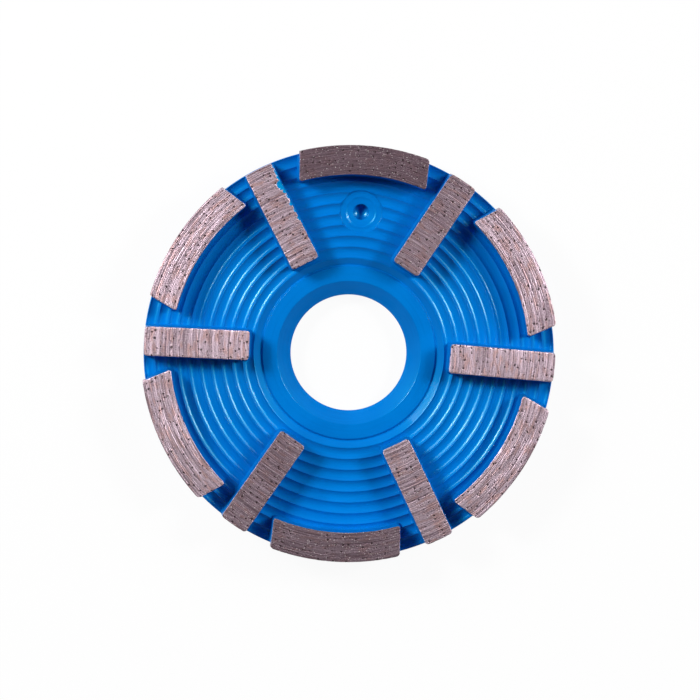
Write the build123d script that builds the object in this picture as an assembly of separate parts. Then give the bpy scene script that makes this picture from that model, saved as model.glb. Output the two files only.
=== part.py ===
from build123d import *
from math import asin, cos, radians, sin, sqrt, tan
import os

# Diamond cup wheel for grinding stone and concrete: one turned steel body with
# sintered diamond segments bonded onto its grooved front face.
# Millimetres. The origin is on the bore's axis, in the plane of the back face.
# +Z points out of the front, the way the segments face.

# Steel body
body_diameter = 78.7
body_thickness = 6.0
bore_diameter = 22.23
back_rim_chamfer = 0.8
back_bore_chamfer = 0.6

# Hub: the seat of the clamping nut, a little lower than the turned ridges. A
# cone falls from the seat to the bore. A relief groove rings the seat, and its
# outer side climbs to the first ridge.
hub_drop = 0.5
cone_outer_diameter = 27.6
cone_drop = 2.2
seat_outer_diameter = 33.0
relief_drop = 0.3
relief_width = 0.6

# Ridges: the crests between concentric scallops, as a round-nosed turning tool
# leaves them. A narrow land is left at the rim, and the ridges follow inwards from
# it for as long as there is room outside the hub. Each scallop's arc is divided
# into a few flats.
rim_land_width = 0.16
ridge_pitch = 2.09
ridge_tool_radius = 1.35
groove_flats = 3

# Balance drilling: a spot cut into the front face, with a blind hole in its middle
balance_radius = 27.1
balance_angle = 88.8
balance_spot_diameter = 8.6
balance_spot_depth = 0.6
balance_hole_diameter = 3.1
balance_hole_depth = 2.0
balance_point_angle = 118.0
balance_tip_diameter = 0.6

# Segments: bent bars on the rim and as many straight bars along the radii, all of
# one height above the crests. Each stands in a flat seat of its own outline, cut
# through the ridges to a little below the groove floors.
segment_count = 6
segment_height = 5.0
segment_seat_cut = 0.1
segment_corner_bevel = 0.5
segment_gap = 3.6

rim_segment_overhang = 0.5
rim_segment_width = 5.65
rim_segment_bend = 41.9
rim_segment_taper_angle = 3.0
rim_segment_turn_angle = 29.5

radial_segment_overhang = 0.05
radial_segment_width = 5.6
radial_segment_hub_gap = 2.2

# Sizes that follow from the ones above
rim_radius = body_diameter / 2
bore_radius = bore_diameter / 2
crest_z = body_thickness
hub_z = crest_z - hub_drop
cone_radius = cone_outer_diameter / 2
seat_radius = seat_outer_diameter / 2
relief_radius = seat_radius + relief_width
relief_z = hub_z - relief_drop
groove_half_angle = asin(ridge_pitch / 2 / ridge_tool_radius)
groove_depth = ridge_tool_radius * (1 - cos(groove_half_angle))
last_crest_radius = rim_radius - rim_land_width
groove_count = int((last_crest_radius - relief_radius) / ridge_pitch)
first_crest_radius = last_crest_radius - groove_count * ridge_pitch
segment_top_z = crest_z + segment_height
segment_seat_z = crest_z - groove_depth - segment_seat_cut
rim_segment_reach = rim_radius + rim_segment_overhang
radial_segment_start = relief_radius + radial_segment_hub_gap
radial_segment_end = rim_radius + radial_segment_overhang


def section_point(radius, height):
    """A point of the half section, which lies in the XZ plane."""
    return (radius, 0, height)


def make_blank():
    """The steel body before its seats are cut: one turned section, balance drilled."""
    back_and_hub = [
        section_point(rim_radius, crest_z),
        section_point(rim_radius, back_rim_chamfer),
        section_point(rim_radius - back_rim_chamfer, 0),
        section_point(bore_radius + back_bore_chamfer, 0),
        section_point(bore_radius, back_bore_chamfer),
        section_point(bore_radius, hub_z - cone_drop),
        section_point(cone_radius, hub_z),
        section_point(seat_radius, hub_z),
        section_point(relief_radius, relief_z),
        section_point(first_crest_radius, crest_z),
    ]
    ridges = []
    for groove in range(groove_count):
        ridges += scallop_points(first_crest_radius + (groove + 0.5) * ridge_pitch)
    turned = revolve(make_face(Polyline(*back_and_hub, *ridges, close=True)), Axis.Z)
    return turned - make_balance_cutter()


def scallop_points(middle_radius):
    """One groove from its inner crest, left out, to its outer one: the tool's arc in flats."""
    arc_centre_z = crest_z + ridge_tool_radius - groove_depth
    points = []
    for flat in range(1, groove_flats + 1):
        angle = groove_half_angle * (2 * flat / groove_flats - 1)
        radius = middle_radius + ridge_tool_radius * sin(angle)
        points.append(section_point(radius, arc_centre_z - ridge_tool_radius * cos(angle)))
    return points


def make_balance_cutter():
    """What the balance drill takes away, standing over its place."""
    spot_radius = balance_spot_diameter / 2
    hole_radius = balance_hole_diameter / 2
    tip_radius = balance_tip_diameter / 2
    point_length = (hole_radius - tip_radius) / tan(radians(balance_point_angle / 2))
    spot_z = crest_z - balance_spot_depth
    hole_z = crest_z - balance_hole_depth
    steps = [
        section_point(0, crest_z + balance_spot_depth),
        section_point(spot_radius, crest_z + balance_spot_depth),
        section_point(spot_radius, spot_z),
        section_point(hole_radius, spot_z),
        section_point(hole_radius, hole_z),
        section_point(tip_radius, hole_z - point_length),
        section_point(0, hole_z - point_length),
    ]
    cutter = revolve(make_face(Polyline(*steps, close=True)), Axis.Z)
    return Rot(0, 0, balance_angle) * Pos(balance_radius, 0, 0) * cutter


def make_rim_segment():
    """A bent bar across the +X axis, as long as the radial segments leave room for."""
    inner_bend = rim_segment_bend - rim_segment_width
    bend_centre = rim_segment_reach - rim_segment_bend
    spoke_angle = radians(180 / segment_count)
    spoke_offset = (rim_segment_reach - rim_segment_width) * sin(spoke_angle)
    half_length = (spoke_offset - radial_segment_width / 2 - segment_gap) / cos(spoke_angle)
    taper = rim_segment_width / 2 * tan(radians(rim_segment_taper_angle))
    outer_y = half_length + taper
    inner_y = half_length - taper
    outer_x = bend_centre + sqrt(rim_segment_bend**2 - outer_y**2)
    inner_x = bend_centre + sqrt(inner_bend**2 - inner_y**2)
    outline = [
        ThreePointArc((outer_x, -outer_y), (rim_segment_reach, 0), (outer_x, outer_y)),
        Line((outer_x, outer_y), (inner_x, inner_y)),
        ThreePointArc(
            (inner_x, inner_y), (bend_centre + inner_bend, 0), (inner_x, -inner_y)
        ),
        Line((inner_x, -inner_y), (outer_x, -outer_y)),
    ]
    plan = make_face(outline)
    plan = chamfer(plan.vertices(), segment_corner_bevel)
    return make_bar(plan)


def make_radial_segment():
    """A straight bar along the +X axis, its outer end curved like the rim."""
    half_width = radial_segment_width / 2
    outer_x = sqrt(radial_segment_end**2 - half_width**2)
    outline = [
        Line((outer_x, half_width), (radial_segment_start, half_width)),
        Line((radial_segment_start, half_width), (radial_segment_start, -half_width)),
        Line((radial_segment_start, -half_width), (outer_x, -half_width)),
        ThreePointArc((outer_x, -half_width), (radial_segment_end, 0), (outer_x, half_width)),
    ]
    plan = make_face(outline)
    plan = chamfer(plan.vertices(), segment_corner_bevel)
    return make_bar(plan)


def make_bar(plan):
    """Raises a segment's outline from its seat to the working plane."""
    return extrude(Pos(0, 0, segment_seat_z) * plan, segment_top_z - segment_seat_z)


def write_part(name, solid):
    export_step(solid, os.path.join("parts", name + ".step"))
    box = solid.bounding_box()
    print(f"{name}: {solid.volume:.1f} mm3, {box.size.X:.2f} x {box.size.Y:.2f} x {box.size.Z:.2f}")


os.makedirs("parts", exist_ok=True)

body = make_blank()
for name, bar, turn in (
    ("radial_segment", make_radial_segment(), 0),
    ("rim_segment", make_rim_segment(), rim_segment_turn_angle),
):
    for index in range(segment_count):
        segment = Rot(0, 0, turn + index * 360 / segment_count) * bar
        body -= segment
        write_part(f"{name}_{index + 1}", segment)
write_part("wheel_body", body)
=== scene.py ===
# %% [markdown]
# # A diamond cup wheel
#
# The wheel is a turned steel disc with a painted, ridged face and twelve abrasive segments.
# Its solids come from the frame, at their real size and place. This script gives them their
# finish: it models each visible piece again with finer forms, inside the same box, and
# makes the two finishes, a thick blue enamel and a ground mix of metal and diamond.

# %% Load the frame
from math import atan2, cos, exp, hypot, log, pi, radians, sin, sqrt, tan

import bpy
from mathutils import Matrix, Vector, noise


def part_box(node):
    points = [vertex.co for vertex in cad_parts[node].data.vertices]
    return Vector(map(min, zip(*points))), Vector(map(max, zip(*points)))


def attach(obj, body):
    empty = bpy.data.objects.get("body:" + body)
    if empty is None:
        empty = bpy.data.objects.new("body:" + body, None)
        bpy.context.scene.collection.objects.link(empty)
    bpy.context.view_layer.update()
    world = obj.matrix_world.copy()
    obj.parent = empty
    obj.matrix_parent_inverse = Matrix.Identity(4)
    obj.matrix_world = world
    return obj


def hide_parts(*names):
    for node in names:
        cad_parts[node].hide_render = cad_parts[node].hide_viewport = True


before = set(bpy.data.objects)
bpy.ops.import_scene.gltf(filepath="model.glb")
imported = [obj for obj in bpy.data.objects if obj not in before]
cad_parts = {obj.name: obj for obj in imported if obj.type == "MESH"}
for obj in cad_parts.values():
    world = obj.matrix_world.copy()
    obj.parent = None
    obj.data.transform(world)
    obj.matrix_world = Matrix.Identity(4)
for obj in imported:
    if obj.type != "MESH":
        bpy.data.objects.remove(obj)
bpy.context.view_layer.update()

# %% [markdown]
# ## Sizes
#
# Blender works in metres here, but a wheel this small is easier to think of in millimetres,
# so every size is written as a number of MM. The outer sizes are read from the frame, which
# keeps the new pieces in step with the solids that they stand for.

# %% Sizes of the wheel
MM = 0.001
STEEL = "wheel_body"
SEGMENTS = 6

rim_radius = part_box(STEEL)[1][0]
crest_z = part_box(STEEL)[1][2]
segment_top_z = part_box("radial_segment_1")[1][2]
segment_foot_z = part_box("radial_segment_1")[0][2]

bore_radius = 11.115 * MM
hub_z = crest_z - 0.5 * MM
cone_radius = 13.8 * MM
cone_foot_z = hub_z - 2.2 * MM
seat_radius = 16.5 * MM
relief_radius = 17.1 * MM
relief_z = hub_z - 0.3 * MM

ridge_pitch = 2.09 * MM
ridge_tool_radius = 1.35 * MM
ridge_count = 10
last_crest = rim_radius - 0.16 * MM
first_crest = last_crest - ridge_count * ridge_pitch
print("rim radius", rim_radius, "crests at", crest_z, "working plane at", segment_top_z)

# %% [markdown]
# ## Small helpers
#
# Most operators act on whatever is selected. One helper clears the selection, and one leaves
# a single piece selected and active. The third hands a finished piece over to the frame: the
# piece rides on the one body and hides the solid that it stands for.

# %% Select, and hand a piece over
def select_nothing():
    if bpy.context.object and bpy.context.object.mode != "OBJECT":
        bpy.ops.object.mode_set(mode="OBJECT")
    bpy.ops.object.select_all(action="DESELECT")


def select_only(piece):
    select_nothing()
    piece.select_set(True)
    bpy.context.view_layer.objects.active = piece


def hand_over(piece, node):
    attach(piece, "root")
    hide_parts(node)
    print(piece.name, "stands for", node, "with", len(piece.data.polygons), "faces")


# %% [markdown]
# ## The turned body
#
# On a lathe the whole disc is one profile turned about one axis, and in Blender the spin
# operator does the same: an open line of vertices, swept round the Z axis. The line has to
# carry the character of the part. Its sharp places are rounded, because a thick coat of
# enamel flows over every edge, and only rounded edges catch the light as a line.

# %% Round the corners of a line
def rounded_line(corners, steps=5):
    """Points of a line whose corners, given as (radius, height, rounding), are arcs."""
    points = []
    for index, (x, z, rounding) in enumerate(corners):
        here = Vector((x, z))
        if rounding == 0 or index in (0, len(corners) - 1):
            points.append(here)
            continue
        before = (Vector(corners[index - 1][:2]) - here).normalized()
        after = (Vector(corners[index + 1][:2]) - here).normalized()
        half_turn = before.angle(after) / 2
        reach = rounding / tan(half_turn)
        centre = here + (before + after).normalized() * rounding / sin(half_turn)
        start = here + before * reach - centre
        end = here + after * reach - centre
        for step in range(steps + 1):
            blend = step / steps
            arm = start.slerp(end, blend)
            points.append(centre + arm.normalized() * rounding)
    return points


# %% [markdown]
# The ridges are what a round-nosed tool leaves: scallops that meet in sharp crests. The
# height at any radius is the lower of the two scallops beside it. A soft minimum in place of
# the plain one rounds the crest, as the paint does, with one formula for the whole face.

# %% The height of the ridged face
crest_softness = 0.03 * MM
groove_depth = ridge_tool_radius - sqrt(ridge_tool_radius**2 - (ridge_pitch / 2) ** 2)


def scallop_height(offset):
    """Height over the groove floor at a distance from the groove's middle."""
    reach = min(abs(offset), ridge_tool_radius * 0.98)
    return ridge_tool_radius - sqrt(ridge_tool_radius**2 - reach**2)


def ridge_height(radius):
    groove = (radius - first_crest) / ridge_pitch
    middle = first_crest + (groove // 1 + 0.5) * ridge_pitch
    heights = [scallop_height(radius - middle + side * ridge_pitch) for side in (-1, 0, 1)]
    soft = -crest_softness * log(sum(exp(-height / crest_softness) for height in heights))
    return crest_z - groove_depth + soft


# %% [markdown]
# The whole profile starts and ends halfway up the wall of the bore. It runs down to the back
# face, out to the rim, up, and back in over the ridges and the hub. The walls of the rim and
# the bore draw back a little towards the back face. Walls that stood quite upright would
# catch a lamp at a grazing angle, in full view of the lens.

# %% The whole profile
ridge_steps = 12
rim_rounding = 0.13 * MM


def ridged_points():
    """The ridged face from the rim inwards, with more points near the crests."""
    points = []
    for groove in reversed(range(ridge_count)):
        middle = first_crest + (groove + 0.5) * ridge_pitch
        for step in range(ridge_steps):
            swing = cos(pi * step / ridge_steps)
            radius = middle + ridge_pitch / 2 * sin(pi / 2 * swing)
            points.append(Vector((radius, ridge_height(radius))))
    return points


back_chamfer = 0.8 * MM
bore_chamfer = 0.6 * MM
wall_draft = 0.2 * MM
bore_seam = (bore_radius + wall_draft / 2, cone_foot_z - 1.5 * MM, 0)
back_corners = [
    bore_seam,
    (bore_radius + wall_draft, bore_chamfer, 0.15 * MM),
    (bore_radius + bore_chamfer, 0, 0.15 * MM),
    (rim_radius - back_chamfer, 0, 0.25 * MM),
    (rim_radius - wall_draft, back_chamfer, 0.25 * MM),
    (rim_radius, crest_z - 0.03 * MM, rim_rounding),
    (last_crest, crest_z - 0.03 * MM, 0),
]
hub_corners = [
    (first_crest + 0.02 * MM, crest_z - 0.02 * MM, 0),
    (first_crest - 0.1 * MM, crest_z - 0.03 * MM, 0.42 * MM),
    (relief_radius - 0.13 * MM, relief_z - 0.11 * MM, 0.1 * MM),
    (relief_radius - 0.25 * MM, relief_z - 0.13 * MM, 0.05 * MM),
    (seat_radius + 0.02 * MM, hub_z, 0.06 * MM),
    (cone_radius, hub_z, 0.25 * MM),
    (bore_radius, cone_foot_z, 0.2 * MM),
    bore_seam,
]
profile = rounded_line(back_corners)[:-1] + ridged_points() + rounded_line(hub_corners)
print("the body's profile has", len(profile), "points")

# %% [markdown]
# The line is drawn in edit mode: a plane is cut down to one vertex, which is then extruded
# from point to point. Spin turns it, and a merge closes the seam. The step count is high,
# because the ridges shine, and a highlight that runs along them shows every flat.

# %% Spin the body
spin_steps = 300
seam_gap = 0.002 * MM


def spun_piece(name, line, steps):
    """A closed turned piece: the line is extruded point by point and spun about Z."""
    select_nothing()
    bpy.ops.mesh.primitive_plane_add(size=MM, location=(0, 0, 0))
    piece = bpy.context.object
    piece.name = piece.data.name = name
    bpy.ops.object.mode_set(mode="EDIT")
    bpy.ops.mesh.merge(type="CENTER")
    start = Vector((line[0].x, 0, line[0].y))
    bpy.ops.transform.translate(value=start)
    for here, there in zip(line, line[1:]):
        step = Vector((there.x - here.x, 0, there.y - here.y))
        bpy.ops.mesh.extrude_region_move(TRANSFORM_OT_translate={"value": step})
    bpy.ops.mesh.select_all(action="SELECT")
    bpy.ops.mesh.spin(steps=steps, angle=2 * pi, center=(0, 0, 0), axis=(0, 0, 1))
    bpy.ops.mesh.select_all(action="SELECT")
    bpy.ops.mesh.remove_doubles(threshold=seam_gap)
    bpy.ops.mesh.normals_make_consistent(inside=False)
    bpy.ops.object.mode_set(mode="OBJECT")
    return piece


body = spun_piece("painted_body", profile, spin_steps)
print("spun", len(body.data.vertices), "vertices")

# %% [markdown]
# ## The balance spot
#
# A wheel that runs out of true is drilled where it is heavy. The drill leaves a dished spot
# with small steps and a deep middle, all softened by paint. It is turned like the body and
# taken away with a Boolean modifier, which is the shop's way too.

# %% Cut the balance spot
balance_radius = 27.1 * MM
balance_angle = radians(88.8)
bowl_radius = 2.6 * MM
bowl_floor = crest_z - 3.0 * MM
bowl_turns = [radians(turn) for turn in range(0, 37, 3)]
drill_top = crest_z + 0.3 * MM
drill_steps = 96
bowl = [
    Vector((bowl_radius * sin(turn), bowl_floor + bowl_radius * (1 - cos(turn))))
    for turn in bowl_turns
]
spot_corners = [
    (*bowl[-1], 0),
    (1.5 * MM, crest_z - 2.3 * MM, 0.05 * MM),
    (1.5 * MM, crest_z - 0.95 * MM, 0.1 * MM),
    (2.62 * MM, crest_z - 0.78 * MM, 0.12 * MM),
    (2.92 * MM, crest_z - 0.67 * MM, 0.12 * MM),
    (3.4 * MM, crest_z - 0.68 * MM, 0.2 * MM),
    (3.95 * MM, crest_z - 0.6 * MM, 0.06 * MM),
    (4.6 * MM, drill_top, 0),
    (0, drill_top, 0),
]
drill = spun_piece("balance_drill", bowl[:-1] + rounded_line(spot_corners), drill_steps)
out_to_spot = Matrix.Translation((balance_radius, 0, 0))
drill.data.transform(Matrix.Rotation(balance_angle, 4, "Z") @ out_to_spot)
select_only(body)
cut = body.modifiers.new("balance_spot", "BOOLEAN")
cut.operation = "DIFFERENCE"
cut.solver = "EXACT"
cut.object = drill
bpy.ops.object.modifier_apply(modifier=cut.name)
bpy.data.objects.remove(drill)
select_only(body)
bpy.ops.object.shade_smooth_by_angle(angle=radians(40))
print("the drilled body has", len(body.data.polygons), "faces")

# %% [markdown]
# ## The segments
#
# Each segment is a pressed bar, ground flat on top. Twelve of them come from two patterns, a
# bent one for the rim and a straight one for the radii. Both outlines have curved sides that
# follow a circle, so both start as a sector: a short line spun through a small angle. Its
# sides or ends are then cut straight with Bisect, as a saw would do it.

# %% Cut a flat sector to its outline
def edit_all(piece):
    select_only(piece)
    bpy.ops.object.mode_set(mode="EDIT")
    bpy.ops.mesh.select_mode(type="VERT")
    bpy.ops.mesh.select_all(action="SELECT")


def sector_piece(name, centre_x, inner, outer, half_angle, steps):
    """A flat sector across the X axis, in the plane of the segments' tops."""
    select_nothing()
    bpy.ops.mesh.primitive_plane_add(size=MM, location=(0, 0, 0))
    piece = bpy.context.object
    piece.name = piece.data.name = name
    bpy.ops.object.mode_set(mode="EDIT")
    bpy.ops.mesh.merge(type="CENTER")
    side = Vector((cos(half_angle), -sin(half_angle), 0))
    centre = Vector((centre_x, 0, segment_top_z))
    bpy.ops.transform.translate(value=centre + side * inner)
    bpy.ops.mesh.extrude_region_move(TRANSFORM_OT_translate={"value": side * (outer - inner)})
    bpy.ops.mesh.select_all(action="SELECT")
    bpy.ops.mesh.spin(steps=steps, angle=-2 * half_angle, center=centre, axis=(0, 0, 1))
    bpy.ops.object.mode_set(mode="OBJECT")
    return piece


def saw(piece, point, normal):
    """Cuts away what lies beyond the point, on the side that the normal points to."""
    edit_all(piece)
    bpy.ops.mesh.bisect(plane_co=point, plane_no=normal, clear_outer=True)
    bpy.ops.object.mode_set(mode="OBJECT")


# %% The outlines of the two patterns
rim_bend = 41.9 * MM
rim_half_width = 2.825 * MM
rim_half_length = 12.355 * MM
rim_taper = radians(3.0)
rim_reach = rim_radius + 0.5 * MM
rim_middle = rim_reach - rim_half_width
radial_half_width = 2.8 * MM
radial_start = relief_radius + 2.2 * MM
radial_end = rim_radius + 0.05 * MM
saw_allowance = 1.0 * MM

rim_bar = sector_piece(
    "rim_bar",
    centre_x=rim_reach - rim_bend,
    inner=rim_bend - 2 * rim_half_width,
    outer=rim_bend,
    half_angle=radians(21.6),
    steps=24,
)
rim_ends = []
for side in (-1, 1):
    end = Vector((rim_middle, side * rim_half_length, 0))
    outwards = Vector((-sin(rim_taper), side * cos(rim_taper), 0))
    saw(rim_bar, end, outwards)
    rim_ends.append((end, outwards))

radial_bar = sector_piece(
    "radial_bar",
    centre_x=0,
    inner=radial_start - saw_allowance,
    outer=radial_end,
    half_angle=radians(10),
    steps=5,
)
saw(radial_bar, (radial_start, 0, 0), (-1, 0, 0))
radial_ends = []
for side in (-1, 1):
    end = Vector((0, side * radial_half_width, 0))
    outwards = Vector((0, side, 0))
    saw(radial_bar, end, outwards)
    radial_ends.append((end, outwards))
print("outlines:", len(rim_bar.data.vertices), "and", len(radial_bar.data.vertices), "vertices")

# %% [markdown]
# The flat outline becomes a bar. Its corners are rounded while it is still flat, which is a
# bevel on vertices. Its outer edge is then extruded down, ring by ring, for the walls. They
# lean out a little towards the foot, and more so where paint fills the corner. Last comes the
# narrow round along the top edge. Each ring is given as its height and its share of the flare.

# %% Raise a bar from its outline
corner_rounding = 0.6 * MM
edge_rounding = 0.08 * MM
foot_flare = 0.4 * MM
touching = 0.01 * MM
wall_rings = [
    (segment_top_z - 1.2 * MM, 0.12),
    (segment_top_z - 2.6 * MM, 0.28),
    (crest_z + foot_flare, 0.45),
    (crest_z + 0.62 * foot_flare, 0.5),
    (crest_z + 0.3 * foot_flare, 0.62),
    (crest_z + 0.1 * foot_flare, 0.78),
    (crest_z - 0.1 * MM, 0.95),
    (segment_foot_z, 0.95),
]


def select_vertices(piece, wanted):
    """Leaves the piece in edit mode with only the wanted vertices selected."""
    edit_all(piece)
    bpy.ops.mesh.select_all(action="DESELECT")
    bpy.ops.object.mode_set(mode="OBJECT")
    for vertex in piece.data.vertices:
        vertex.select = wanted(vertex.co)
    bpy.ops.object.mode_set(mode="EDIT")


def round_corners(piece, corners):
    def is_corner(place):
        return min((place.xy - corner).length for corner in corners) < touching

    select_vertices(piece, is_corner)
    bpy.ops.mesh.bevel(offset=corner_rounding, segments=6, affect="VERTICES")
    bpy.ops.object.mode_set(mode="OBJECT")


def raise_walls(piece):
    """Takes the outline's edge down in rings, and closes the foot."""
    edit_all(piece)
    bpy.ops.mesh.select_mode(type="EDGE")
    bpy.ops.mesh.select_all(action="DESELECT")
    bpy.ops.mesh.select_non_manifold(extend=False)
    height = segment_top_z
    spread = 0
    for ring_z, share in wall_rings:
        step = {"value": (0, 0, ring_z - height)}
        bpy.ops.mesh.extrude_region_move(TRANSFORM_OT_translate=step)
        if share * foot_flare > spread:
            bpy.ops.transform.shrink_fatten(value=share * foot_flare - spread)
            spread = share * foot_flare
        height = ring_z
    bpy.ops.mesh.edge_face_add()
    bpy.ops.mesh.select_all(action="SELECT")
    bpy.ops.mesh.normals_make_consistent(inside=False)
    bpy.ops.object.mode_set(mode="OBJECT")


def round_top(piece):
    """Rounds the edge between the top and the walls."""
    edit_all(piece)
    bpy.ops.mesh.select_mode(type="FACE")
    bpy.ops.mesh.select_all(action="DESELECT")
    bpy.ops.object.mode_set(mode="OBJECT")
    for face in piece.data.polygons:
        face.select = face.center.z > segment_top_z - touching
    bpy.ops.object.mode_set(mode="EDIT")
    bpy.ops.mesh.region_to_loop()
    bpy.ops.mesh.bevel(offset=edge_rounding, segments=4, affect="EDGES")
    bpy.ops.object.mode_set(mode="OBJECT")


def outline_corners(piece):
    """The four places where the flat outline turns sharply."""
    places = [vertex.co.xy for vertex in piece.data.vertices]
    corners = []
    for x_sign, y_sign in ((1, 1), (1, -1), (-1, 1), (-1, -1)):
        furthest = max(places, key=lambda place: x_sign * place.x + 2 * y_sign * place.y)
        corners.append(furthest.copy())
    return corners


for bar in (rim_bar, radial_bar):
    round_corners(bar, outline_corners(bar))
    raise_walls(bar)
    round_top(bar)
    print(bar.name, "has", len(bar.data.polygons), "faces before it is sliced")

# %% [markdown]
# The tops need small faces, because their edges get chipped later on. Loop cuts would follow
# the outline, but a row of Bisect planes is simpler and works on any shape: it slices the bar
# both ways like a chip cutter, and takes nothing away.

# %% Slice the bars into small faces
slice_width = 0.25 * MM
slice_gap = 0.001 * MM
rim_zone = 0.3 * MM


def slice_finely(piece):
    """Cuts the piece both ways into slices of about the slice width."""
    lows = [min(vertex.co[axis] for vertex in piece.data.vertices) for axis in (0, 1)]
    highs = [max(vertex.co[axis] for vertex in piece.data.vertices) for axis in (0, 1)]
    edit_all(piece)
    for axis, normal in ((0, (1, 0, 0)), (1, (0, 1, 0))):
        cuts = int((highs[axis] - lows[axis]) / slice_width)
        for cut in range(1, cuts + 1):
            place = lows[axis] + (highs[axis] - lows[axis]) * cut / (cuts + 1)
            bpy.ops.mesh.select_all(action="SELECT")
            bpy.ops.mesh.bisect(plane_co=[place * part for part in normal], plane_no=normal)
    bpy.ops.mesh.select_all(action="SELECT")
    bpy.ops.mesh.remove_doubles(threshold=slice_gap)
    bpy.ops.object.mode_set(mode="OBJECT")


def keep_in_reach(piece, centre_x, reach, ends):
    """Stands the outer wall upright again, and the side walls where they pass the rim."""
    for vertex in piece.data.vertices:
        arm = vertex.co.xy - Vector((centre_x, 0))
        if arm.length > reach:
            arm *= reach / arm.length
            vertex.co.x = centre_x + arm.x
            vertex.co.y = arm.y
        past_rim = hypot(vertex.co.x, vertex.co.y) > rim_radius - rim_zone
        for end, outwards in ends:
            spread = (vertex.co - end).dot(outwards)
            if past_rim and spread > 0:
                vertex.co -= spread * outwards


outer_arcs = (
    (rim_bar, rim_reach - rim_bend, rim_bend, rim_ends),
    (radial_bar, 0, radial_end, radial_ends),
)
for bar, centre_x, reach, ends in outer_arcs:
    slice_finely(bar)
    keep_in_reach(bar, centre_x, reach, ends)
    print(bar.name, "has", len(bar.data.polygons), "faces")

# %% [markdown]
# ## Shader maths
#
# A material is a graph of nodes, and its arithmetic is easier to read as an expression. The
# class below wraps a socket, so that a sum or a product of two sockets adds the Math node
# itself. Every other node comes from one method, which sets the node up before it is linked.

# %% A socket that can stand in an expression
class Wire:
    def __init__(self, socket):
        self.socket = socket
        self.tree = socket.id_data

    @staticmethod
    def node(tree, kind, settings=None, links=None, output=0):
        """Adds a node, sets it up, links it and returns one of its outputs."""
        made = tree.nodes.new(kind)
        for name, value in (settings or {}).items():
            setattr(made, name, value)
        for name, value in (links or {}).items():
            if isinstance(value, Wire):
                tree.links.new(value.socket, made.inputs[name])
            else:
                made.inputs[name].default_value = value
        return Wire(made.outputs[output])

    def math(self, operation, *others):
        values = dict(enumerate((self, *others)))
        return Wire.node(self.tree, "ShaderNodeMath", {"operation": operation}, values)

    def __add__(self, other):
        return self.math("ADD", other)

    __radd__ = __add__

    def __mul__(self, other):
        return self.math("MULTIPLY", other)

    def __sub__(self, other):
        return self.math("SUBTRACT", other)

    def __rsub__(self, other):
        return (self * -1).math("ADD", other)

    def __truediv__(self, other):
        return self.math("DIVIDE", other)

    def smooth_step(self, low, high):
        """0 below low, 1 above high and a smooth rise between them."""
        settings = {"interpolation_type": "SMOOTHSTEP"}
        links = {"Value": self, "From Min": low, "From Max": high}
        return Wire.node(self.tree, "ShaderNodeMapRange", settings, links)

    def noise(self, scale, detail=2, roughness=0.5):
        """Fractal noise on a vector, between 0 and 1."""
        links = {"Vector": self, "Scale": scale, "Detail": detail, "Roughness": roughness}
        return Wire.node(self.tree, "ShaderNodeTexNoise", None, links)

    def stretched(self, x, y, z):
        settings = {"operation": "MULTIPLY"}
        return Wire.node(self.tree, "ShaderNodeVectorMath", settings, {0: self, 1: (x, y, z)})

    def part(self, axis):
        links = {"Vector": self}
        return Wire.node(self.tree, "ShaderNodeSeparateXYZ", None, links, output=axis)

    def mixed(self, low, high):
        """The colour between low and high at this factor."""
        links = {0: self, 6: low, 7: high}
        return Wire.node(self.tree, "ShaderNodeMix", {"data_type": "RGBA"}, links, output=2)


def new_material(name):
    material = bpy.data.materials.new(name)
    material.use_nodes = True
    material.node_tree.nodes.clear()
    return material, material.node_tree


def finish_material(tree, shader):
    output = tree.nodes.new("ShaderNodeOutputMaterial")
    tree.links.new(shader.socket, output.inputs["Surface"])


def object_millimetres(tree):
    """Object coordinates, in millimetres."""
    place = Wire.node(tree, "ShaderNodeTexCoord", output="Object")
    return place.stretched(1 / MM, 1 / MM, 1 / MM)


# %% [markdown]
# ## Blue enamel
#
# The paint is thick, glossy and deep in colour. It isn't quite even: it is a little deeper
# in some places than in others, it carries a faint orange peel, and the turned steel under it
# shows through as very fine rings. Peel and rings are shallow, so they are bump.

# %% The paint
PAINT_BLUE = (0.0, 0.176, 0.585, 1)
PAINT_DEEP = (0.0, 0.145, 0.505, 1)
PAINT_SHEEN = (0.02, 0.95, 1.0, 1)
PAINT_EDGE = (0.0, 0.2, 0.5, 1)


def paint_shader(tree, place, thin=None, dullness=0.0):
    """The enamel, in another blue where it is thin."""
    across = place.part(0)
    along = place.part(1)
    radius = (across * across + along * along).math("SQRT")
    cloud = place.noise(0.12)
    peel = place.noise(1.1)
    fine = place.noise(6.0)
    ring_place = Wire.node(tree, "ShaderNodeCombineXYZ", None, {0: radius * 3.1, 1: cloud * 3.0})
    turned = ring_place.noise(1.0, 3)
    colour = (cloud * 0.6 + turned * 0.4).smooth_step(0.3, 0.7).mixed(PAINT_DEEP, PAINT_BLUE)
    if thin:
        colour = thin.mixed(colour, PAINT_EDGE)
    height = peel * 0.6 + fine * 0.05 + turned * 0.3
    links = {"Strength": 1.0, "Distance": 0.006 * MM, "Height": height}
    bump = Wire.node(tree, "ShaderNodeBump", None, links)
    rough = cloud * 0.08 + peel * 0.05 + 0.26 + dullness
    links = {
        "Base Color": colour,
        "Roughness": rough,
        "Normal": bump,
        "IOR": 1.3,
        "Specular IOR Level": 1.0,
        "Specular Tint": PAINT_SHEEN,
        "Coat Weight": 0.1,
        "Coat Roughness": 0.08,
        "Coat IOR": 2.0,
    }
    return Wire.node(tree, "ShaderNodeBsdfPrincipled", None, links)


def make_paint():
    material, tree = new_material("blue_enamel")
    finish_material(tree, paint_shader(tree, object_millimetres(tree)))
    return material


blue_enamel = make_paint()
body.data.materials.append(blue_enamel)
hand_over(body, STEEL)

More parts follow.
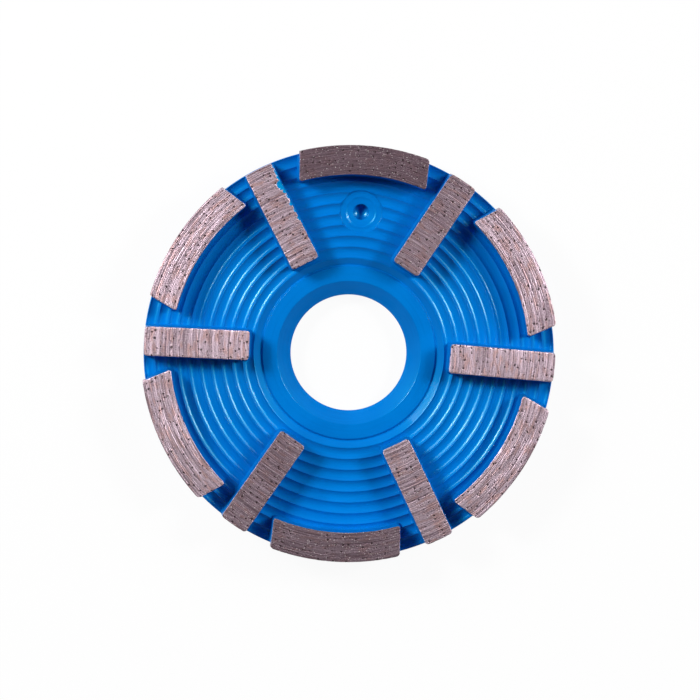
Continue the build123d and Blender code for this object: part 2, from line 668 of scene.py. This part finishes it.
# %% [markdown]
# ## Ground diamond matrix
#
# The tops of the segments are dressed by turning the wheel against a stone, so the grain runs
# round the axis on every segment. Each vertex carries three measures as an attribute. The
# first runs across the grain: it is the radius less the height, so that it goes on down the
# outer wall. The second runs along the circle, and the third is the plain radius. Noise
# stretched in the first two gives lines that follow the circle on straight and bent bars
# alike. The paint is older than the grinding, so the walls keep it up to the very edge, and
# in the nicks too.

# %% Copy a bar to its place
grain_shift = 90


def placed_bar(bar, name, seat, index, painted_shade, dents):
    """A copy of the bar with its own mesh, moved to its seat and carrying its grain."""
    piece = bar.copy()
    piece.data = bar.data.copy()
    piece.name = piece.data.name = name
    bpy.context.scene.collection.objects.link(piece)
    grain = []
    for vertex in piece.data.vertices:
        x, y, z = vertex.co
        radius = hypot(x, y)
        along = atan2(y, x) * radius / MM + grain_shift * index
        grain += [(radius - z) / MM, along, radius / MM]
    attribute = piece.data.attributes.new("grain", "FLOAT_VECTOR", "POINT")
    attribute.data.foreach_set("vector", grain)
    # This attribute is painted shade: one value per segment that takes its metal towards a dark
    # brown.
    painted_shade_attribute = piece.data.attributes.new("painted_shade", "FLOAT", "POINT")
    painted_shade_attribute.data.foreach_set("value", [painted_shade] * len(piece.data.vertices))
    dent(piece, dents)
    piece.data.transform(seat)
    roughen(piece, index)
    select_only(piece)
    bpy.ops.object.shade_smooth_by_angle(angle=radians(50))
    return piece


# %% [markdown]
# One straight bar has a ragged side. Its top is let down along that edge, inside a chain of
# circles in the bar's own millimetres, whose outlines wander with a noise. The stone doesn't
# reach down there, so the paint stays on.

# %% Dent an edge
RAGGED_SIDE = [
    (38.6, -2.95, 0.5),
    (37.2, -2.9, 0.5),
    (36.0, -2.9, 0.6),
    (34.9, -2.5, 0.75),
    (33.7, -2.9, 0.6),
    (32.3, -2.85, 0.5),
    (30.8, -2.95, 0.55),
    (29.3, -2.9, 0.45),
    (27.6, -2.95, 0.45),
    (25.8, -2.95, 0.4),
]
dent_depth = 0.14 * MM
dent_zone = 0.5 * MM


def dent(piece, circles):
    for vertex in piece.data.vertices:
        if vertex.co.z < segment_top_z - dent_zone:
            continue
        place = vertex.co / MM
        wobble = noise.noise(place * 1.7) * 0.35
        for x, y, reach in circles:
            depth = reach - 0.12 + wobble - hypot((place.x - x) * 0.6, place.y - y)
            if depth > 0:
                vertex.co.z -= dent_depth * min(1, depth / 0.15)
                break


# %% [markdown]
# No two segments are alike at the edge. The vertices on the rounded edge and on the wall just
# below it are pushed in by a noise that depends on their place, which chips the edge in small
# bites. The flat of the top stays as the stone leaves it.

# %% Chip the edges
chip_depth = 0.16 * MM
chip_zone = 1.2 * MM


def roughen(piece, index):
    top = segment_top_z
    for vertex in piece.data.vertices:
        if vertex.co.z < top - chip_zone:
            continue
        place = vertex.co / MM
        bite = noise.noise(place * 1.1 + Vector((index, 0, 0)))
        nick = noise.noise(place * 3.1 + Vector((0, index, 0)))
        near_edge = min(1, (top - vertex.co.z) / (edge_rounding * 0.6))
        amount = max(0, bite + nick * 0.8 - 0.12)
        vertex.co.z -= chip_depth * amount * near_edge
        vertex.co += vertex.normal * (-0.5 * chip_depth * amount * near_edge)


# %% The grinding lines and the pits
def grinding_lines(grain):
    """Three noises, drawn out along the circle into lines of three widths, from 0 to 1."""
    hair = grain.stretched(15.0, 0.08, 0).noise(1.0, detail=1)
    fine = grain.stretched(5.5, 0.09, 0).noise(1.0, detail=1)
    coarse = grain.stretched(2.2, 0.08, 0).noise(1.0)
    return hair, fine, coarse


def pulled_pits(grain):
    """Dark pits where a grain fell out, and the groove that it tore behind it."""
    cells_across = 1.25
    cells_along = 0.7
    spread = grain.stretched(cells_across, cells_along, 0)
    settings = {"voronoi_dimensions": "2D"}
    links = {"Vector": spread, "Scale": 1.0}
    chance = Wire.node(grain.tree, "ShaderNodeTexVoronoi", settings, links, output="Color")
    centre = Wire.node(grain.tree, "ShaderNodeTexVoronoi", settings, links, output="Position")
    across = (spread.part(0) - centre.part(0)) / cells_across
    along = (spread.part(1) - centre.part(1)) / cells_along
    size = chance.part(0) * 0.15 + 0.06
    far = (across * across + along * along).math("SQRT")
    dot = 1 - (far - size).smooth_step(-0.03, 0.07)
    narrow = 1 - across.math("ABSOLUTE").smooth_step(0.02, 0.13)
    tail = narrow * along.smooth_step(-0.05, 0.05) * (1 - along.smooth_step(0.2, 1.5))
    present = chance.part(1).math("GREATER_THAN", 0.48)
    return dot * present, tail * present


# %% The matrix material
MATRIX_LIGHT = (0.88, 0.68, 0.785, 1)
MATRIX_DARK = (0.33, 0.235, 0.285, 1)
MATRIX_RED = (0.8, 0.51, 0.51, 1)
# This dark brown is painted shade, laid on each segment by its own amount.
PAINTED_SHADE_BROWN = (0.16, 0.1, 0.125, 1)
PIT_DARK = (0.05, 0.03, 0.035, 1)
# The diamond grit is lighter than the metal, and this light colour is also a painted glint.
GRIT_AND_GLINT = (0.8, 0.74, 0.72, 1)


def matrix_shader(tree, place, grain):
    hair, fine, coarse = grinding_lines(grain)
    dots, tails = pulled_pits(grain)
    speckle = place.noise(4.0, roughness=0.6)
    cloud = grain.stretched(1.1, 0.35, 0).noise(1.0)
    # Light dots of diamond grit in small cells: partly the diamond's own colour, partly a painted
    # glint.
    grit_cells = Wire.node(tree, "ShaderNodeTexVoronoi", None, {"Vector": place, "Scale": 2.2})
    grit_and_glint = (1 - grit_cells.smooth_step(0.16, 0.27)) * speckle.smooth_step(0.48, 0.54)
    tone = (fine * 0.6 + coarse * 0.4 + (speckle - 0.5) * 0.4).smooth_step(0.34, 0.6)
    light = cloud.smooth_step(0.45, 0.65).mixed(MATRIX_LIGHT, MATRIX_RED)
    metal = tone.mixed(MATRIX_DARK, light)
    # A per-segment attribute paints shade here: it takes the metal towards the dark brown.
    painted_shade = Wire.node(tree, "ShaderNodeAttribute", {"attribute_name": "painted_shade"}, output="Fac")
    dark = (dots + tails * 0.7).math("MINIMUM", 0.9)
    pitted = dark.mixed(painted_shade.mixed(metal, PAINTED_SHADE_BROWN), PIT_DARK)
    colour = (grit_and_glint * 0.6).mixed(pitted, GRIT_AND_GLINT)
    height = hair * 0.45 + fine * 0.75 + coarse * 0.45 - dots * 0.6 - tails * 0.25
    links = {"Strength": 1.0, "Distance": 0.078 * MM, "Height": height}
    bump = Wire.node(tree, "ShaderNodeBump", None, links)
    links = {
        "Base Color": colour,
        "Metallic": 0.9 - grit_and_glint * 0.6,
        "Roughness": 0.36 + speckle * 0.12 + dark * 0.3,
        "Normal": bump,
    }
    return Wire.node(tree, "ShaderNodeBsdfPrincipled", None, links)


def make_matrix():
    """Bare metal on the ground tops and on the walls past the rim, and paint elsewhere."""
    material, tree = new_material("ground_matrix")
    place = object_millimetres(tree)
    grain = Wire.node(tree, "ShaderNodeAttribute", {"attribute_name": "grain"}, output="Vector")
    ragged = place.noise(1.8, 3)
    height = place.part(2)
    top = segment_top_z / MM
    rim = rim_radius / MM
    crest = crest_z / MM
    thin = (height + ragged * 0.3).smooth_step(top - 0.45, top - 0.1)
    above = (height + ragged * 0.12).smooth_step(top + 0.01, top + 0.03)
    outside = (grain.part(2) + ragged * 0.3).smooth_step(rim + 0.02, rim + 0.1)
    high = height.smooth_step(crest - 0.3, crest - 0.1)
    bare = above.math("MAXIMUM", outside * high)
    links = {
        0: bare,
        1: paint_shader(tree, place, thin, dullness=0.25),
        2: matrix_shader(tree, place, grain),
    }
    finish_material(tree, Wire.node(tree, "ShaderNodeMixShader", None, links))
    return material


ground_matrix = make_matrix()

# %% [markdown]
# Each segment sits a little off its mark. The tables give, for each one, how far it lies
# outwards and round the wheel, in millimetres, and how far it is turned about its own middle,
# in degrees. The last column is painted shade: how far the colour of its metal goes to a dark
# brown, from 0 to 1. It darkens the segments that catch less of the lamps on their grinding lines.
# It was set so that each segment is as bright as in the photograph.

# %% Set the segments round the wheel
RADIAL_SEATING = [
    (-0.12, 0.14, -1.3, 0.13),
    (0.08, 0.16, -0.2, 0.59),
    (-0.14, 0.01, 0.5, 0.27),
    (-0.1, -0.13, 1.1, 0.12),
    (0.1, -0.17, -1.2, 0.63),
    (0.08, -0.03, -0.9, 0.27),
]
RIM_SEATING = [
    (0.0, 0.18, -0.3, 0.28),
    (0.0, -0.05, 0.4, 0.9),
    (-0.1, -0.2, 0.4, 0.16),
    (-0.06, -0.1, -0.3, 0.11),
    (0.0, 0.05, 0.6, 0.72),
    (-0.1, 0.09, 0.8, 0.12),
]
rim_turn = radians(29.5)
patterns = (
    ("radial_segment", radial_bar, 0.0, (radial_start + radial_end) / 2, RADIAL_SEATING),
    ("rim_segment", rim_bar, rim_turn, rim_middle, RIM_SEATING),
)
for kind, bar, turn, middle, seating in patterns:
    for index in range(SEGMENTS):
        node = f"{kind}_{index + 1}"
        dents = RAGGED_SIDE if node == "radial_segment_3" else []
        outwards, round_wheel, own_turn, painted_shade = seating[index]
        to_middle = Matrix.Translation((middle, 0, 0))
        twist = Matrix.Rotation(radians(own_turn), 4, "Z")
        shift = Matrix.Translation((outwards * MM - middle, round_wheel * MM, 0))
        angle = Matrix.Rotation(turn + index * 2 * pi / SEGMENTS, 4, "Z")
        seat = angle @ (to_middle @ twist) @ shift
        seed = index + 1 + (kind == "rim_segment") * SEGMENTS
        piece = placed_bar(bar, "ground_" + node, seat, seed, painted_shade, dents)
        piece.data.materials.append(ground_matrix)
        hand_over(piece, node)
    bpy.data.objects.remove(bar)

# %% [markdown]
# ## Floor, light and camera
#
# The wheel lies on a white table and is seen almost straight down the bore, through a long
# lens. The table is drawn white for the camera and for reflections, and it still takes a
# share of the wheel's shadow. It lies a hair below the back face, because two faces in one
# plane flicker. A softbox with a brighter core stands low at the left and another at the
# right, because the ridges only show where a flank can throw a lamp into the lens.

# %% The floor
WHITE = (1, 1, 1, 1)
table_size = 4.0
table_z = -0.01 * MM
table_whiteness = 0.94


def make_floor():
    select_nothing()
    bpy.ops.mesh.primitive_plane_add(size=table_size, location=(0, 0, table_z))
    floor = bpy.context.object
    floor.name = "floor"
    material, tree = new_material("white_table")
    rays = tree.nodes.new("ShaderNodeLightPath")
    seen = Wire(rays.outputs["Is Camera Ray"])
    mirrored = Wire(rays.outputs["Is Glossy Ray"])
    glassy = Wire(rays.outputs["Is Transmission Ray"])
    share = seen.math("MAXIMUM", mirrored).math("MAXIMUM", glassy) * table_whiteness
    lit = Wire.node(tree, "ShaderNodeBsdfDiffuse", None, {"Color": (0.8, 0.8, 0.8, 1)})
    glow = Wire.node(tree, "ShaderNodeEmission", None, {"Color": WHITE, "Strength": 1.0})
    both = Wire.node(tree, "ShaderNodeMixShader", None, {0: share, 1: lit, 2: glow})
    finish_material(tree, both)
    floor.data.materials.append(material)


make_floor()

# %% [markdown]
# The camera's frame is that of the photograph: its size in pixels, the scale at the crests,
# the turn of the wheel, the lean of the lens and how many pixels the bore's axis lies off the
# middle of the picture.

# %% The camera
photo_turn = radians(3.8)
photo_scale = 0.1917 * MM
photo_pixels = 700
lens_distance = 1.0
sensor = 36.0
image_right = Vector((cos(photo_turn), sin(photo_turn), 0))
image_up = Vector((-sin(photo_turn), cos(photo_turn), 0))
lean = radians(2.8)
lean_azimuth = radians(127)
off_centre = (1.1, 2.9)


def make_camera():
    aside = image_right * off_centre[0] + image_up * off_centre[1]
    target = Vector((0, 0, crest_z)) + photo_scale * aside
    sideways = image_right * cos(lean_azimuth) + image_up * sin(lean_azimuth)
    away = (Vector((0, 0, 1)) * cos(lean) + sideways * sin(lean)).normalized()
    right = image_up.cross(away).normalized()
    up = away.cross(right)
    data = bpy.data.cameras.new("camera")
    data.sensor_width = sensor
    data.lens = sensor * lens_distance / (photo_pixels * photo_scale)
    data.clip_end = 10
    camera = bpy.data.objects.new("camera", data)
    bpy.context.scene.collection.objects.link(camera)
    turn = Matrix((right, up, away)).transposed().to_4x4()
    camera.matrix_world = Matrix.Translation(target + away * lens_distance) @ turn
    bpy.context.scene.camera = camera
    return camera


camera = make_camera()
print("the lens is", round(camera.data.lens), "mm long")

# %% The lamps
lamp_distance = 0.7
core_size = 0.13
softbox_size = 0.34


def make_lamp(name, azimuth, polar, size, power):
    """A soft lamp at an azimuth in the photograph, pointing at the wheel."""
    sideways = image_right * cos(azimuth) + image_up * sin(azimuth)
    away = Vector((0, 0, 1)) * cos(polar) + sideways * sin(polar)
    data = bpy.data.lights.new(name, "AREA")
    data.shape = "SQUARE"
    data.size = size
    data.energy = power
    lamp = bpy.data.objects.new(name, data)
    bpy.context.scene.collection.objects.link(lamp)
    lamp.location = away * lamp_distance
    lamp.rotation_euler = away.to_track_quat("Z", "Y").to_euler()


make_lamp("left_core", radians(150), radians(45), core_size, power=2.2)
make_lamp("right_core", radians(19), radians(45), core_size, power=1.7)
make_lamp("left_softbox", radians(148), radians(50), softbox_size, power=2.6)
make_lamp("right_softbox", radians(24), radians(50), softbox_size, power=1.7)

# %% [markdown]
# The studio round the wheel is dim overhead, where the camera looks in, and brighter low
# down. That keeps the flat faces a clean, deep blue and still fills the shadows.

# %% The studio
def make_world():
    world = bpy.data.worlds.new("studio")
    bpy.context.scene.world = world
    world.use_nodes = True
    tree = world.node_tree
    tree.nodes.clear()
    place = Wire.node(tree, "ShaderNodeTexCoord", output="Generated")
    open_side = 1 - place.part(2).smooth_step(0.3, 0.85)
    strength = open_side * 0.15 + 0.02
    links = {"Color": WHITE, "Strength": strength}
    light = Wire.node(tree, "ShaderNodeBackground", None, links)
    output = tree.nodes.new("ShaderNodeOutputWorld")
    tree.links.new(light.socket, output.inputs["Surface"])


make_world()
bpy.context.scene.view_settings.view_transform = "Standard"
